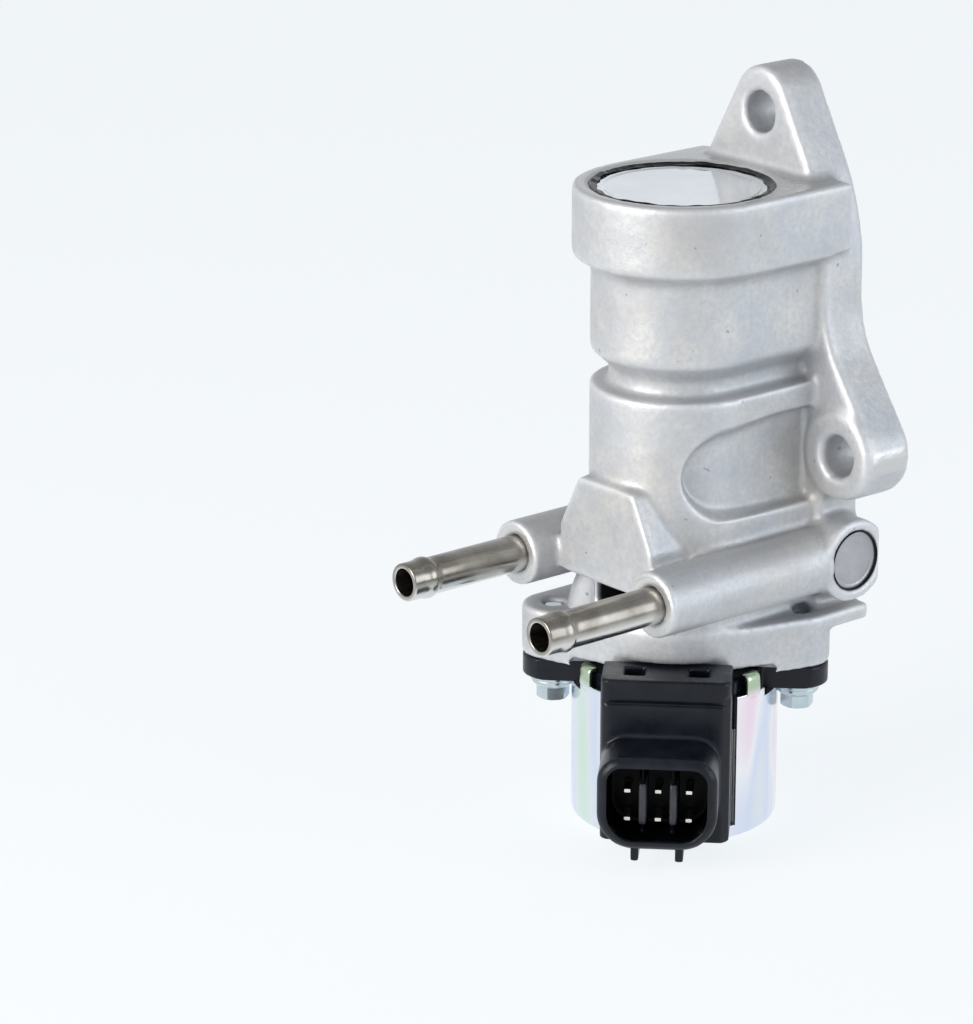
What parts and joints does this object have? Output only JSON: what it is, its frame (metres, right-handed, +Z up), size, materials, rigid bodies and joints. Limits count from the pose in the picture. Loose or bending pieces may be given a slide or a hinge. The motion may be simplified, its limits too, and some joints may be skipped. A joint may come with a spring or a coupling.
{
  "type": "exhaust gas recirculation valve",
  "caption": "Upright cast aluminium gas valve with an eared mounting plate, two coolant nipples and a stepper motor can with a side connector below.",
  "frame": {"origin": "centre of the motor can's bottom, on the valve's axis", "axes": "+Z up along the valve stem, +Y out of the mounting face, -Y along the coolant nipples"},
  "size_m": [0.0738, 0.0908, 0.1621],
  "materials": {
    "cast_aluminium": "matte die casting with machined faces",
    "bright_steel": "bright pressed steel",
    "black_rubber": "matte",
    "stainless_tube": "satin",
    "valve_steel": "turned",
    "sintered_bronze": "sintered",
    "zinc_steel": "bluish zinc plate",
    "spring_steel": "drawn wire",
    "zinc_sheet": "iridescent zinc plate",
    "black_plastic": "moulded, semi-gloss",
    "stator_sheet": "pressed sheet",
    "copper_wire": "enamelled copper",
    "ferrite": "ground ferrite",
    "bearing_steel": "ground",
    "pin_metal": "tin plate"
  },
  "bodies": {
    "body": {"valve_body": "cast_aluminium", "top_plug": "bright_steel", "top_plug_seal": "black_rubber", "passage_plug": "valve_steel", "coolant_nipple_left": "stainless_tube", "coolant_nipple_right": "stainless_tube", "valve_seat": "valve_steel", "stem_guide": "sintered_bronze", "deposit_shield": "valve_steel", "stem_seal": "black_rubber", "return_spring": "spring_steel", "motor_can": "zinc_sheet", "connector_housing": "black_plastic", "flange_seal_ring": "black_rubber", "flange_screw_right": "zinc_steel", "flange_screw_left": "zinc_steel", "washer_right": "zinc_steel", "washer_left": "zinc_steel", "lower_stator": "stator_sheet", "upper_stator": "stator_sheet", "lower_coil": "copper_wire", "upper_coil": "copper_wire", "lower_bearing": "bearing_steel", "upper_bearing": "bearing_steel", "terminal_pin_1": "pin_metal", "terminal_pin_2": "pin_metal", "terminal_pin_3": "pin_metal", "terminal_pin_4": "pin_metal", "terminal_pin_5": "pin_metal", "terminal_pin_6": "pin_metal"},
    "rotor": {"rotor_magnet": "ferrite", "rotor_hub": "black_plastic"},
    "stem": {"lead_screw": "valve_steel", "valve_stem": "valve_steel", "spring_retainer": "zinc_steel", "retainer_clip": "zinc_steel"}
  },
  "joints": [
    {"name": "rotor_spin", "type": "hinge", "parent": "body", "child": "rotor", "pos_m": [0, 0, 0.0143], "axis": [0, 0, 1], "range_deg": [0, 1620]},
    {"name": "valve_lift", "type": "slide", "parent": "body", "child": "stem", "axis": [0, 0, 1], "range_m": [0, 0.0045], "deforming": ["return_spring"]}
  ],
  "couplings": [
    {"joint": "valve_lift", "follows": "rotor_spin", "m_per_rad": 0.00015915}
  ]
}
